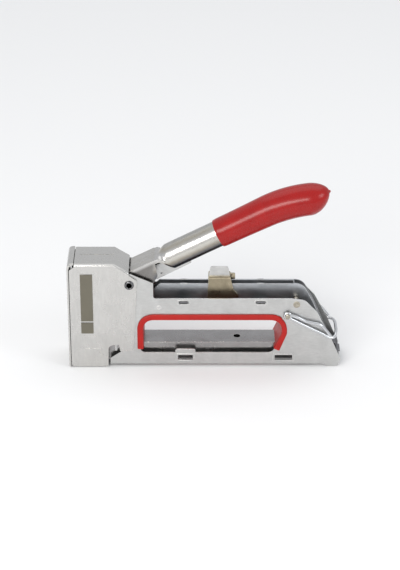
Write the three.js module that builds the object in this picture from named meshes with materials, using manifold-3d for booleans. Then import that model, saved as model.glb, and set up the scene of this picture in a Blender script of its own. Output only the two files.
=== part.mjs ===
// Hand staple gun: folded steel body, squeeze handle, leaf main spring, rear-loading magazine.
// Millimetres. -X is the nose, +X the tail, +Z up, -Y the left side. Origin under the middle of the gun.
import * as THREE from 'three';
import { mergeVertices } from 'three/addons/utils/BufferGeometryUtils.js';
import Module from 'manifold-3d';

const wasm = await Module();
wasm.setup();

// ---- driving dimensions -------------------------------------------------------------------
const NOSE_X = -93.5;              // front of the nose plate
const TAIL_X = 93.5;               // rear of the side shells
const HEAD_TOP = 79;               // top of the head jacket
const SHEET = 1.0;                 // pressed steel thickness
const GAP = 0.3;                   // air between touching pieces
const JACKET_HALF = 14.5;          // half width outside the jacket
const SHELL_HALF = 13.2;           // half width outside the side shells
const GUARD_HALF = 14.6;           // half width outside the finger guard lips
const INSIDE_HALF = SHELL_HALF - SHEET - GAP;   // half width of a piece held between the shells
const RAIL_HALF = 3.7;             // half width of the top rail
const RAIL_TOP = 59.2;
const RAIL_FLOOR = 43.5;
const CHANNEL_HALF = 8.9;          // half width of the magazine channel
const CHANNEL_TOP = 16.8;
const PIVOT = { x: -51.4, z: 63.5 };
const PIN_R = 2.6;
const PIN_HOLE_R = PIN_R + GAP;
const PIN_HEAD_R = 3.2;
const PIN_SOCKET_R = 1.5;
const HANDLE_SLOPE = 27.3 * Math.PI / 180;
const HANDLE_POINT = { x: -10.3, z: 85.4 };   // a point on the straight part of the handle axis
const TUBE_R = 9.1;                // outside radius of the rolled handle
const TUBE_WALL = 1.3;
const TUBE_SLOT_HALF = 5.6;        // half width of the open seam under the handle
const BEND_START = 58;             // along the axis from HANDLE_POINT
const BEND_RADIUS = 86;
const BEND_TURN = 28 * Math.PI / 180;
const TUBE_START = -22;
const TUBE_END = 84;
const GRIP_START = 21.8;
const GRIP_END = 101.5;
const GRIP_MOUTH_R = 10.1;
const GRIP_CAP = 14;               // length of the rounded end
const GRIP_TIP_LIFT = 4.2;         // the tip lies above the axis
const BAIL_EYE = { x: 56.3, z: 40.3 };
const BAIL_WIRE_R = 1.1;
const BAIL_Y = 15;                 // middle of the bail legs, to each side
const STAPLE_CROWN_Z = 15.2;
const LOADER_HALF = 4.4;

// ---- materials -----------------------------------------------------------------------------
function finish(color, roughness, metalness) {
  return new THREE.MeshStandardMaterial({ color, roughness, metalness });
}
const zincSheet = finish(0xc8c8c6, 0.35, 0.9);
const chrome = finish(0xd8d6d2, 0.15, 1.0);
const darkSteel = finish(0x8a8c8e, 0.4, 0.9);
const goldZinc = finish(0xb09a70, 0.35, 0.9);
const redVinyl = finish(0xb8201c, 0.25, 0.0);
const redPlastic = finish(0xc42a20, 0.35, 0.0);
const springSteel = finish(0x5c6068, 0.35, 0.9);
const brassy = finish(0xa89878, 0.35, 0.9);
const blackRubber = finish(0x1c1c1c, 0.8, 0.0);
const olivePaint = finish(0x78735f, 0.5, 0.1);

// ---- solids --------------------------------------------------------------------------------
const gun = new THREE.Group();

function toSolid(geometry) {
  const bare = geometry.clone();
  bare.deleteAttribute('normal');
  bare.deleteAttribute('uv');
  const merged = mergeVertices(bare, 1e-4);
  return new wasm.Manifold(new wasm.Mesh({
    numProp: 3,
    vertProperties: new Float32Array(merged.attributes.position.array),
    triVerts: new Uint32Array(merged.index.array),
  }));
}

function toGeometry(solid) {
  const mesh = solid.getMesh();
  const geometry = new THREE.BufferGeometry();
  geometry.setAttribute('position', new THREE.BufferAttribute(mesh.vertProperties, 3));
  geometry.setIndex(new THREE.BufferAttribute(mesh.triVerts, 1));
  return geometry;
}

function addPart(name, solid, material) {
  const mesh = new THREE.Mesh(toGeometry(solid), material);
  mesh.name = name;
  gun.add(mesh);
}

// The span across the gun from near to far, on one side: -1 is left, 1 is right.
function span(side, near, far) {
  return side < 0 ? [-far, -near] : [near, far];
}

function join(solids) {
  return solids.reduce((all, next) => all.add(next));
}

function cut(solid, tools) {
  return tools.reduce((left, tool) => left.subtract(tool), solid);
}

function box(x0, x1, y0, y1, z0, z1) {
  const geometry = new THREE.BoxGeometry(x1 - x0, y1 - y0, z1 - z0);
  geometry.translate((x0 + x1) / 2, (y0 + y1) / 2, (z0 + z1) / 2);
  return toSolid(geometry);
}

// A cylinder across the gun, along Y.
function crossRod(x, z, radius, y0, y1, sides = 24) {
  const geometry = new THREE.CylinderGeometry(radius, radius, y1 - y0, sides);
  geometry.translate(x, (y0 + y1) / 2, z);
  return toSolid(geometry);
}

// A side outline in X and Z, extruded across the gun from y0 to y1.
function sidePlate(shape, y0, y1) {
  const geometry = new THREE.ExtrudeGeometry(shape, {
    depth: y1 - y0, bevelEnabled: false, curveSegments: 4,
  });
  geometry.rotateX(Math.PI / 2);
  geometry.translate(0, y1, 0);
  return toSolid(geometry);
}

function polygon(points) {
  return new THREE.Shape(points.map(([x, z]) => new THREE.Vector2(x, z)));
}

// A polygon whose corners are rounded: each point is [x, z] or [x, z, radius].
function roundedPolygon(points) {
  const shape = new THREE.Shape();
  points.forEach(([x, z, radius = 0], i) => {
    const corner = new THREE.Vector2(x, z);
    const before = points[(i + points.length - 1) % points.length];
    const after = points[(i + 1) % points.length];
    const back = new THREE.Vector2(before[0], before[1]).sub(corner).normalize();
    const ahead = new THREE.Vector2(after[0], after[1]).sub(corner).normalize();
    const half = Math.acos(THREE.MathUtils.clamp(back.dot(ahead), -1, 1)) / 2;
    const reach = radius > 0 ? radius / Math.tan(half) : 0;
    const start = corner.clone().addScaledVector(back, reach);
    const end = corner.clone().addScaledVector(ahead, reach);
    if (i === 0) shape.moveTo(start.x, start.y);
    else shape.lineTo(start.x, start.y);
    if (radius > 0) shape.quadraticCurveTo(corner.x, corner.y, end.x, end.y);
  });
  shape.closePath();
  return shape;
}

// A round wire along a smooth curve through the given [x, y, z] points.
function wire(points, radius, steps, sides = 8) {
  const path = new THREE.CatmullRomCurve3(points.map((p) => new THREE.Vector3(...p)), false, 'centripetal');
  const section = new THREE.Shape();
  for (let i = 0; i < sides; i += 1) {
    const turn = i / sides * 2 * Math.PI;
    const x = radius * Math.cos(turn);
    const y = radius * Math.sin(turn);
    if (i === 0) section.moveTo(x, y);
    else section.lineTo(x, y);
  }
  section.closePath();
  return toSolid(new THREE.ExtrudeGeometry(section, { steps, extrudePath: path, bevelEnabled: false }));
}

// ---- side shells ---------------------------------------------------------------------------
const openingOutline = [
  [-44.6, 10.8, 4.5], [46.5, 10.8, 4.5], [48.4, 16, 2], [54.6, 26, 4], [54.6, 38.9, 11], [-44.6, 38.9, 10.5],
];

function shellShape() {
  const shape = roundedPolygon([
    [-72, 20.4], [-57.6, 20.4, 0.6], [-57.6, 11.4, 1.5], [-65.2, 6.5, 2], [-65.2, 2, 1],
    [82, 2, 1], [84, 0, 1], [91.5, 0, 2],
    [TAIL_X, 5.8, 1.5], [91, 11.2, 2], [85.2, 24.9, 6], [76, 42.6, 6], [68, 51.2, 6], [59, 52.6, 4],
    [-35.2, 52.6, 1.8], [-35.2, 64.2, 1], [-50.8, 71.2], [-52, 70.4], [-72, 70.4],
  ]);
  shape.holes.push(roundedPolygon(openingOutline));
  return shape;
}

const TAB_SLOTS = [-14.6, 37.9];
const TAB_SLOT_Z = 49.6;
const TAB_HALF = 2.9;
const CLIP_SLOTS = [[-18.5, -8.5], [48, 60]];
const CLIP_SLOT = [5.4, 9];        // bottom and top of the clip slots
const HOOK_TAB = [-20.4, -6.6, 13.6];   // ends and top of the tab over the front clip slot
const REAR_RIVET = { x: 62.4, z: 48.1 };
const RIVET_R = 1.6;
const BAIL_PIN_R = 0.9;

function sideShell(side) {
  const [y0, y1] = span(side, SHELL_HALF - SHEET, SHELL_HALF);
  const holes = [
    crossRod(PIVOT.x, PIVOT.z, PIN_HOLE_R, y0 - 1, y1 + 1),
    crossRod(REAR_RIVET.x, REAR_RIVET.z, RIVET_R + GAP, y0 - 1, y1 + 1, 16),
    crossRod(BAIL_EYE.x, BAIL_EYE.z, BAIL_PIN_R + GAP, y0 - 1, y1 + 1, 12),
    ...TAB_SLOTS.map((x) => box(
      x - TAB_HALF - GAP, x + TAB_HALF + GAP, y0 - 1, y1 + 1, TAB_SLOT_Z - 0.9, TAB_SLOT_Z + 0.9,
    )),
    ...CLIP_SLOTS.map(([x0, x1]) => box(x0, x1, y0 - 1, y1 + 1, ...CLIP_SLOT)),
  ];
  const hookTab = box(HOOK_TAB[0], HOOK_TAB[1], y0, y1, 10, HOOK_TAB[2]);
  return cut(sidePlate(shellShape(), y0, y1), holes).add(hookTab);
}
addPart('left_shell', sideShell(-1), zincSheet);
addPart('right_shell', sideShell(1), zincSheet);

// ---- head: jacket, nose plate, guide ---------------------------------------------------------
const JACKET_FRONT = -91.9;
const SLOPE_START = -61.8;
const SLOPE_END = -51.6;
const SLOPE_END_TOP = 72.6;
const TOP_FRONT = JACKET_FRONT + 3.4;     // the top fold stops behind the nose plate's bend
const FOLD_TOP = HEAD_TOP - 0.2;
const FOLD_DEPTH = SHEET + 0.6;
const pinHole = crossRod(PIVOT.x, PIVOT.z, PIN_HOLE_R, -20, 20);

function headJacket() {
  const wallShape = roundedPolygon([
    [JACKET_FRONT, 0.6, 2.5], [-66.5, 0.6, 1.5], [-66.2, 16.4, 3], [-59, 18.2, 1], [-58.4, 12.6],
    [-49, 12.6, 2.5], [-46.2, 66.6, 1.5], [SLOPE_END, SLOPE_END_TOP - 2], [SLOPE_START, FOLD_TOP],
    [TOP_FRONT, FOLD_TOP], [TOP_FRONT, HEAD_TOP - 2], [JACKET_FRONT, HEAD_TOP - 4.4],
  ]);
  const top = sidePlate(polygon([
    [TOP_FRONT, HEAD_TOP], [TOP_FRONT, HEAD_TOP - SHEET], [SLOPE_START, HEAD_TOP - SHEET],
    [SLOPE_END, SLOPE_END_TOP - SHEET], [SLOPE_END, SLOPE_END_TOP], [SLOPE_START, HEAD_TOP],
  ]), -JACKET_HALF + 1.2, JACKET_HALF - 1.2);
  const walls = [-1, 1].map((side) => sidePlate(wallShape, ...span(side, JACKET_HALF - SHEET, JACKET_HALF)));
  // The folded corners between the walls and the top, as strips under the bend.
  const foldShape = polygon([
    [TOP_FRONT, FOLD_TOP], [TOP_FRONT, HEAD_TOP - FOLD_DEPTH], [SLOPE_START, HEAD_TOP - FOLD_DEPTH],
    [SLOPE_END, SLOPE_END_TOP - FOLD_DEPTH], [SLOPE_END, SLOPE_END_TOP - 0.2], [SLOPE_START, FOLD_TOP],
  ]);
  const folds = [-1, 1].map((side) => sidePlate(foldShape, ...span(side, JACKET_HALF - 2.4, JACKET_HALF)));
  return cut(join([top, ...walls, ...folds]), [pinHole]);
}
addPart('head_jacket', headJacket(), chrome);

function nosePlate() {
  const plate = sidePlate(roundedPolygon([
    [NOSE_X, 0.6, 0.4], [NOSE_X + 1.2, 0.6, 0.4], [NOSE_X + 1.2, HEAD_TOP - 3.4, 0.8],
    [NOSE_X + 4.6, HEAD_TOP - 1.2, 0.4], [NOSE_X + 4.6, HEAD_TOP, 0.4], [NOSE_X, HEAD_TOP, 3.6],
  ]), -JACKET_HALF, JACKET_HALF);
  const relief = box(NOSE_X + 1.6, NOSE_X + 5, -10.4, -7.4, HEAD_TOP - 4.4, HEAD_TOP - 1.0);
  return cut(plate, [relief]);
}
addPart('nose_plate', nosePlate(), chrome);

const GUIDE_REAR = -72.4;
function noseGuide() {
  const block = box(-91.6, GUIDE_REAR, -JACKET_HALF + SHEET + GAP, JACKET_HALF - SHEET - GAP, 0, 24);
  const tunnel = box(-93, GUIDE_REAR + 1, -6.4, 6.4, -1, STAPLE_CROWN_Z + 0.5);
  const bladeSlot = box(-93, -90.2, -6.4, 6.4, -1, 30);
  return cut(block, [tunnel, bladeSlot]);
}
addPart('nose_guide', noseGuide(), darkSteel);

addPart('label_plate', sidePlate(
  roundedPolygon([[-84.6, 26.6, 0.4], [-76.2, 26.6, 0.4], [-76.2, 71.5, 0.4], [-84.6, 71.5, 0.4]]),
  -JACKET_HALF - 0.5,
  -JACKET_HALF - 0.2,
), olivePaint);

// ---- top rail: an upright channel that bends down at the tail ----------------------------------
function topRail() {
  const body = sidePlate(roundedPolygon([
    [-35, RAIL_FLOOR], [64, RAIL_FLOOR, 2], [79.5, 20], [84.6, 20, 1],
    [73.8, 45.4, 12], [66.6, RAIL_TOP, 9], [-31, RAIL_TOP], [-35, RAIL_TOP - 4],
  ]), -RAIL_HALF, RAIL_HALF);
  const hollow = sidePlate(roundedPolygon([
    [-40, RAIL_FLOOR + SHEET], [60.5, RAIL_FLOOR + SHEET], [60.5, RAIL_TOP + 5], [-40, RAIL_TOP + 5],
  ]), -RAIL_HALF + SHEET, RAIL_HALF - SHEET);
  const tailHollow = sidePlate(polygon([
    [66, RAIL_FLOOR + 1], [79.9, 19], [83.4, 19], [72.8, 44.6],
  ]), -RAIL_HALF + SHEET, RAIL_HALF - SHEET);
  const rivetHole = crossRod(REAR_RIVET.x, REAR_RIVET.z, RIVET_R + 0.4, -RAIL_HALF - 1, RAIL_HALF + 1, 16);
  return cut(body, [hollow, tailHollow, rivetHole]);
}
addPart('top_rail', topRail(), darkSteel);

// Spacer blocks that carry the rail between the shells, with tabs through the shell slots.
TAB_SLOTS.forEach((x, i) => {
  const ears = [-1, 1].map((side) => {
    const ear = box(x - 5, x + 5, ...span(side, 10.9, INSIDE_HALF), 43, 51);
    const tab = box(
      x - TAB_HALF, x + TAB_HALF, ...span(side, 11.5, SHELL_HALF - 0.1), TAB_SLOT_Z - 0.6, TAB_SLOT_Z + 0.6,
    );
    return ear.add(tab);
  });
  const bridge = box(x - 5, x + 5, -INSIDE_HALF, INSIDE_HALF, 40.2, 43.2);
  const posts = [-1, 1].map((side) => box(
    x - 5, x + 5, ...span(side, RAIL_HALF + GAP, INSIDE_HALF), 40.2, 46.2,
  ));
  addPart(i === 0 ? 'front_rail_spacer' : 'rear_rail_spacer', join([bridge, ...posts, ...ears]), darkSteel);
});

// ---- finger guard ------------------------------------------------------------------------------
const guardInner = [[-42, 14.2], [-42, 36.2, 7.5], [52.4, 36.2, 8.5], [52.4, 26.2, 4], [47.2, 14.6]];
function guardShape(outer) {
  return roundedPolygon([...guardInner, ...outer]);
}
function fingerGuard() {
  const body = sidePlate(guardShape([
    [48.1, 15.8], [54.3, 26, 4], [54.3, 38.6, 11], [-44.3, 38.6, 10.2], [-44.3, 14.2],
  ]), -SHELL_HALF - 0.4, SHELL_HALF + 0.4);
  const lips = [-1, 1].map((side) => sidePlate(
    guardShape([[50.4, 12.4], [56.2, 22.5, 4], [56.2, 41, 12.5], [-46.9, 41, 12.5], [-46.9, 14.2]]),
    ...span(side, SHELL_HALF + GAP, GUARD_HALF),
  ));
  const overChannel = box(-60, 60, -CHANNEL_HALF - GAP, CHANNEL_HALF + GAP, 0, CHANNEL_TOP + GAP);
  return cut(join([body, ...lips]), [overChannel]);
}
addPart('finger_guard', fingerGuard(), redPlastic);

// ---- handle --------------------------------------------------------------------------------------
// Bends a straight shape onto the handle axis: its x runs along the axis, z points away from the body.
function ontoHandle(geometry) {
  const position = geometry.attributes.position;
  for (let i = 0; i < position.count; i += 1) {
    const along = position.getX(i);
    const across = position.getY(i);
    const height = position.getZ(i);
    const place = handlePoint(along);
    position.setXYZ(
      i,
      place.x - height * Math.sin(place.slope),
      across,
      place.z + height * Math.cos(place.slope),
    );
  }
  return geometry;
}

function handlePoint(along) {
  const straight = Math.min(along, BEND_START);
  const bent = THREE.MathUtils.clamp(along - BEND_START, 0, BEND_RADIUS * BEND_TURN);
  const after = Math.max(0, along - BEND_START - BEND_RADIUS * BEND_TURN);
  const turn = bent / BEND_RADIUS;
  const slope = HANDLE_SLOPE - turn;
  const bendX = BEND_RADIUS * (Math.sin(HANDLE_SLOPE) - Math.sin(slope));
  const bendZ = BEND_RADIUS * (Math.cos(slope) - Math.cos(HANDLE_SLOPE));
  return {
    x: HANDLE_POINT.x + straight * Math.cos(HANDLE_SLOPE) + bendX + after * Math.cos(slope),
    z: HANDLE_POINT.z + straight * Math.sin(HANDLE_SLOPE) + bendZ + after * Math.sin(slope),
    slope,
  };
}

// A straight bar along the handle from one place to another, in steps, before it is bent.
function alongHandle(shape, start, end, steps, curveSegments = 6) {
  const geometry = new THREE.ExtrudeGeometry(shape, {
    depth: end - start, steps, bevelEnabled: false, curveSegments,
  });
  geometry.rotateY(Math.PI / 2);
  geometry.rotateX(Math.PI / 2);
  geometry.translate(start, 0, 0);
  return toSolid(ontoHandle(geometry));
}

// The open-seamed tube: a ring with its seam at the bottom.
function openTubeShape(outer, inner, slotHalf) {
  const outerAngle = Math.asin(slotHalf / outer);
  const innerAngle = Math.asin(slotHalf / inner);
  const down = -Math.PI / 2;
  const shape = new THREE.Shape();
  shape.absarc(0, 0, outer, down + outerAngle, down - outerAngle + 2 * Math.PI, false);
  shape.absarc(0, 0, inner, down - innerAngle + 2 * Math.PI, down + innerAngle, true);
  shape.closePath();
  return shape;
}

const ARM_HALF = 10.3;             // half width of the folded neck
const ARM_SHEET = 1.3;
function handleArm() {
  const flangeShape = roundedPolygon([
    [-50, 71.1], [-35.2, 78.4, 1], [-32.2, 68.4, 2], [-35, 62.9, 1], [-45.5, 58, 1],
    [-55, 57.5, 4], [-58, 63.5, 4], [-53.8, 68.6, 1],
  ]);
  const flanges = [-1, 1].map((side) => sidePlate(
    flangeShape, ...span(side, ARM_HALF - ARM_SHEET, ARM_HALF),
  ));
  const topPlate = sidePlate(polygon([
    [-50.2, 70.6], [-50.9, 71.7], [-32.3, 80.9], [-30.6, 84.6], [-29.6, 84], [-31.6, 79.8],
  ]), -ARM_HALF, ARM_HALF);
  const tubeShape = openTubeShape(TUBE_R, TUBE_R - TUBE_WALL, TUBE_SLOT_HALF);
  const tube = alongHandle(tubeShape, TUBE_START, TUBE_END, 12);
  return cut(join([topPlate, ...flanges, tube]), [pinHole]);
}
addPart('handle_arm', handleArm(), chrome);

// 0 until the grip's end begins to close, 1 at its tip.
function gripCap(along) {
  return THREE.MathUtils.clamp(1 - (GRIP_END - along) / GRIP_CAP, 0, 1);
}

// Grip radius along the handle: narrow at the mouth, fullest behind the fingers, rounded at the end.
function gripRadius(along) {
  const share = (along - GRIP_START) / (GRIP_END - GRIP_START);
  const belly = GRIP_MOUTH_R + 0.9 * Math.sin(Math.PI / 2 * Math.min(1, share / 0.75)) ** 2;
  return belly * Math.sqrt(1 - gripCap(along) ** 2);
}

function gripSolid() {
  const profile = [new THREE.Vector2(0, GRIP_START)];
  const steps = 14;
  for (let i = 0; i <= steps; i += 1) {
    const along = GRIP_START + (GRIP_END - GRIP_START) * (1 - (1 - i / steps) ** 1.35);
    profile.push(new THREE.Vector2(i === steps ? 0 : gripRadius(along), along));
  }
  const outside = new THREE.LatheGeometry(profile, 18);
  outside.rotateZ(-Math.PI / 2);
  const position = outside.attributes.position;
  for (let i = 0; i < position.count; i += 1) {
    const closed = 1 - Math.sqrt(1 - gripCap(position.getX(i)) ** 2);
    position.setZ(i, position.getZ(i) + GRIP_TIP_LIFT * closed);
  }
  const skin = toSolid(ontoHandle(outside));
  const coreShape = new THREE.Shape();
  coreShape.absarc(0, 0, TUBE_R + 1.5 * GAP, 0, 2 * Math.PI, false);
  const core = alongHandle(coreShape, GRIP_START - 2, TUBE_END + GAP, 12, 12);
  const slotHalf = TUBE_SLOT_HALF;
  const slotShape = polygon([[-slotHalf, -14], [slotHalf, -14], [slotHalf, 0], [-slotHalf, 0]]);
  const slot = alongHandle(slotShape, GRIP_START - 2, 66, 6);
  return cut(skin, [core, slot]);
}
const nubPlace = handlePoint(GRIP_END - 1.4);
const nubGeometry = new THREE.SphereGeometry(1.8, 12, 8);
nubGeometry.translate(nubPlace.x, 0, nubPlace.z + GRIP_TIP_LIFT + 0.6);
addPart('grip', gripSolid().add(toSolid(nubGeometry)), redVinyl);

const LEVER_HALF = 1.5;
const HOOK = { x: PIVOT.x - 32, z: PIVOT.z - 12 };
const HOOK_R = 2.4;
function liftLever() {
  const plate = sidePlate(roundedPolygon([
    [HOOK.x, HOOK.z - HOOK_R], [-66, 54.5, 4], [-55, 56.5, 3], [-46, 56.8, 3], [-32.4, 61.6, 1],
    [-9, 74.2, 1], [-12.4, 81, 1], [-35, 71.6, 3], [-46, 70, 2], [-56, 69.6, 4],
    [HOOK.x + 5, HOOK.z + HOOK_R, 1], [HOOK.x, HOOK.z + HOOK_R],
  ]), -LEVER_HALF, LEVER_HALF);
  const tip = crossRod(HOOK.x, HOOK.z, HOOK_R, -LEVER_HALF, LEVER_HALF, 20);
  return cut(plate.add(tip), [pinHole]);
}
addPart('lift_lever', liftLever(), zincSheet);

function pivotPin() {
  const shaft = crossRod(PIVOT.x, PIVOT.z, PIN_R, -JACKET_HALF - 0.6, JACKET_HALF + 0.6, 24);
  const heads = [-1, 1].map((side) => crossRod(
    PIVOT.x, PIVOT.z, PIN_HEAD_R, ...span(side, JACKET_HALF + GAP, JACKET_HALF + 1.2), 24,
  ));
  const sockets = [-1, 1].map((side) => crossRod(PIVOT.x, PIVOT.z, PIN_SOCKET_R, ...span(side, 13, 17), 6));
  return cut(join([shaft, ...heads]), sockets);
}
addPart('handle_pivot_pin', pivotPin(), brassy);

// Torsion spring round the pivot pin that lifts the handle again.
function helix(radius, turns, y0, y1, stepsPerTurn, startTurn) {
  const points = [];
  const count = turns * stepsPerTurn;
  for (let i = 0; i <= count; i += 1) {
    const turn = startTurn + i / stepsPerTurn * 2 * Math.PI;
    points.push([
      PIVOT.x + radius * Math.cos(turn), y0 + (y1 - y0) * i / count, PIVOT.z + radius * Math.sin(turn),
    ]);
  }
  return points;
}
addPart('handle_return_spring', wire(helix(4.1, 3, 3, 7.4, 14, 0), 0.6, 36, 5), springSteel);

// ---- striker -----------------------------------------------------------------------------------
const STRIKER_FRONT = -90.2;
const STRIKER_REAR = -81;
function plunger() {
  const block = box(STRIKER_FRONT, STRIKER_REAR, -6.2, 6.2, 36, 60);
  const hookPocket = box(
    -88.6, STRIKER_REAR + 1,
    -LEVER_HALF - 0.5, LEVER_HALF + 0.5,
    HOOK.z - HOOK_R - 0.5, HOOK.z + HOOK_R + 0.5,
  );
  const leafSlot = box(-88, STRIKER_REAR + 1, -3.1, 3.1, 43.9, 47.6);
  return cut(block, [hookPocket, leafSlot]);
}
addPart('plunger', plunger(), darkSteel);
addPart('driver_blade', box(-91.8, -90.6, -5.6, 5.6, 4.4, 58), springSteel);
addPart('plunger_bumper', box(-90.2, -74, -6, 6, 30.4, 35.6), blackRubber);
addPart('bumper_shelf', box(STRIKER_FRONT, GUIDE_REAR, -13, 13, 27, 30), darkSteel);

// ---- main spring and power slider ----------------------------------------------------------------
const LEAF_HALF = 2.4;
addPart('main_spring_long_leaf', box(-86.4, 57, -LEAF_HALF, LEAF_HALF, 46, 47.3), springSteel);
addPart('main_spring_short_leaf', box(-70, 57, -LEAF_HALF, LEAF_HALF, 44.9, 45.7), springSteel);

const SLIDER_TOP = 64.8;
const SLIDER_HALF = 5.2;
function powerSlider() {
  const skirtShape = roundedPolygon([
    [1.6, 49, 0.5], [22.8, 49, 0.5], [22.8, 51.6, 2], [19.6, 55, 2],
    [17.2, SLIDER_TOP - 0.4, 0.5], [2.4, SLIDER_TOP - 0.4, 0.5],
  ]);
  const skirts = [-1, 1].map((side) => sidePlate(
    skirtShape, ...span(side, SLIDER_HALF - SHEET, SLIDER_HALF),
  ));
  const saddle = box(2.4, 17.2, -SLIDER_HALF, SLIDER_HALF, SLIDER_TOP - 1.2, SLIDER_TOP);
  const thumbTab = sidePlate(roundedPolygon([
    [2.6, SLIDER_TOP - 0.6], [17, SLIDER_TOP - 0.6], [15.8, 72, 2.2], [3.6, 72, 2.2],
  ]), -3.2, -2);
  const stem = box(5, 14.6, -2.2, 2.2, 50.9, SLIDER_TOP - 0.6);
  const rearLug = box(16, 20.6, 1.5, 3.2, 60, SLIDER_TOP - 0.5);
  return join([...skirts, saddle, thumbTab, stem, rearLug]);
}
addPart('power_slider', powerSlider(), goldZinc);
addPart('fulcrum_pad', box(5, 14.6, -2.3, 2.3, 47.7, 50.6), darkSteel);

// ---- magazine --------------------------------------------------------------------------------------
const CHANNEL_FRONT = -71.5;
const CHANNEL_REAR = 80;
function magazineChannel() {
  const outside = sidePlate(roundedPolygon([
    [CHANNEL_FRONT, 3.4], [CHANNEL_REAR, 3.4], [CHANNEL_REAR, CHANNEL_TOP, 2], [CHANNEL_FRONT, CHANNEL_TOP],
  ]), -CHANNEL_HALF, CHANNEL_HALF);
  const wallHalf = CHANNEL_HALF - SHEET;
  const inside = box(CHANNEL_FRONT - 1, CHANNEL_REAR + 1, -wallHalf, wallHalf, 0, CHANNEL_TOP - SHEET);
  const hole = new THREE.CylinderGeometry(2.4, 2.4, 6, 20);
  hole.rotateX(Math.PI / 2);
  hole.translate(22.1, 0, CHANNEL_TOP);
  return cut(outside, [inside, toSolid(hole)]);
}
addPart('magazine_channel', magazineChannel(), chrome);

// Brackets between the channel and the shells.
[['front_channel_bracket', -56, -48], ['rear_channel_bracket', 60, 72]].forEach(([name, x0, x1]) => {
  const arms = [-1, 1].map((side) => box(x0, x1, ...span(side, CHANNEL_HALF + GAP, INSIDE_HALF), 5, 20));
  addPart(name, join([box(x0, x1, -INSIDE_HALF, INSIDE_HALF, CHANNEL_TOP + GAP, 20), ...arms]), darkSteel);
});

function loaderRail() {
  const outside = box(-90, 90.2, -LOADER_HALF, LOADER_HALF, 4.6, 13.6);
  const inside = box(-91, 86, -LOADER_HALF + SHEET, LOADER_HALF - SHEET, 3, 12.6);
  return outside.subtract(inside);
}
addPart('loader_rail', loaderRail(), darkSteel);

// The pull plate that closes the tail of the magazine.
addPart('loader_latch', join([
  box(90.5, 92.2, -11.6, 11.6, 2.6, 10.6),
  box(91, TAIL_X, -4, 4, 6.6, 8.4),
]), darkSteel);

const ROD_R = 1;
const ROD_Z = 8.4;
// A rod along the gun, inside the loader rail.
function lengthRod(radius, x0, x1, sides) {
  const geometry = new THREE.CylinderGeometry(radius, radius, x1 - x0, sides);
  geometry.rotateZ(Math.PI / 2);
  geometry.translate((x0 + x1) / 2, 0, ROD_Z);
  return toSolid(geometry);
}

const PUSHER_FRONT = -47;
const PUSHER_REAR = -33;
function staplePusher() {
  const outside = box(PUSHER_FRONT, PUSHER_REAR, -6.6, 6.6, 2.6, STAPLE_CROWN_Z);
  const around = box(PUSHER_FRONT - 1, PUSHER_REAR + 1, -LOADER_HALF - 0.4, LOADER_HALF + 0.4, 3.9, 13.95);
  const lug = box(PUSHER_FRONT, PUSHER_REAR, -2.9, 2.9, 3, 11.8);
  const rodHole = lengthRod(ROD_R + GAP, -60, -20, 12);
  return outside.subtract(around).add(lug).subtract(rodHole);
}
addPart('staple_pusher', staplePusher(), darkSteel);
addPart('pusher_rod', lengthRod(ROD_R, -86.5, 85.5, 12), darkSteel);

function pusherSpring() {
  const stepsPerTurn = 6;
  const count = 15 * stepsPerTurn;
  const coilRadius = 1.9;
  const points = [];
  const x0 = PUSHER_REAR + 0.9;
  const x1 = 84.6;
  for (let i = 0; i <= count; i += 1) {
    const turn = i / stepsPerTurn * 2 * Math.PI;
    points.push([
      x0 + (x1 - x0) * i / count, coilRadius * Math.cos(turn), ROD_Z + coilRadius * Math.sin(turn),
    ]);
  }
  return wire(points, 0.35, count, 4);
}
addPart('pusher_spring', pusherSpring(), springSteel);

// A stick of staples, glued side by side, astride the loader rail.
const STICK_FRONT = -90;
const STICK_REAR = PUSHER_FRONT - GAP;
function stapleStick() {
  const outside = box(STICK_FRONT, STICK_REAR, -5.7, 5.7, 6.4, STAPLE_CROWN_Z);
  const inside = box(STICK_FRONT - 1, STICK_REAR + 1, -4.9, 4.9, 5, STAPLE_CROWN_Z - 0.7);
  return outside.subtract(inside);
}
addPart('staple_stick', stapleStick(), zincSheet);

// ---- wire bail ---------------------------------------------------------------------------------------
const BAIL_CORNER = { x: 85.7, z: 23.5 };
function bailSide(side) {
  const y = side * BAIL_Y;
  const lowerLeg = wire([
    [BAIL_EYE.x + 1.4, y, BAIL_EYE.z - 1.8], [70, y, 31.8], [BAIL_CORNER.x, y, BAIL_CORNER.z],
    [88.2, side * 13.5, 23.2], [89.8, side * 9, 24.1], [90.4, 0, 24.6],
  ], BAIL_WIRE_R, 14, 6);
  const upperLeg = wire([
    [BAIL_EYE.x + 1.6, y, BAIL_EYE.z + 1.0], [69.3, y, 36], [73, y, 35], [78.6, y, 33.4], [82, y, 30],
    [86.2, side * (BAIL_Y - 0.1), 24.2],
  ], BAIL_WIRE_R, 9, 6);
  const eye = crossRod(BAIL_EYE.x, BAIL_EYE.z, 3, y - BAIL_WIRE_R, y + BAIL_WIRE_R, 20);
  const eyeHole = crossRod(BAIL_EYE.x, BAIL_EYE.z, BAIL_PIN_R + GAP, y - 3, y + 3, 16);
  return cut(join([lowerLeg, upperLeg, eye]), [eyeHole]);
}
addPart('wire_bail', bailSide(-1).add(bailSide(1)), chrome);

// Pins that hold the bail eyes to the shells.
[['bail_pin_left', -1], ['bail_pin_right', 1]].forEach(([name, side]) => {
  const stretch = (radius, near, far) => crossRod(
    BAIL_EYE.x, BAIL_EYE.z, radius, ...span(side, near, far), 16,
  );
  const shaft = stretch(BAIL_PIN_R, 11, 16.8);
  const outerHead = stretch(1.8, 16.4, 17);
  const innerHead = stretch(2, 10.6, INSIDE_HALF);
  addPart(name, join([shaft, outerHead, innerHead]), darkSteel);
});

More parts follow.
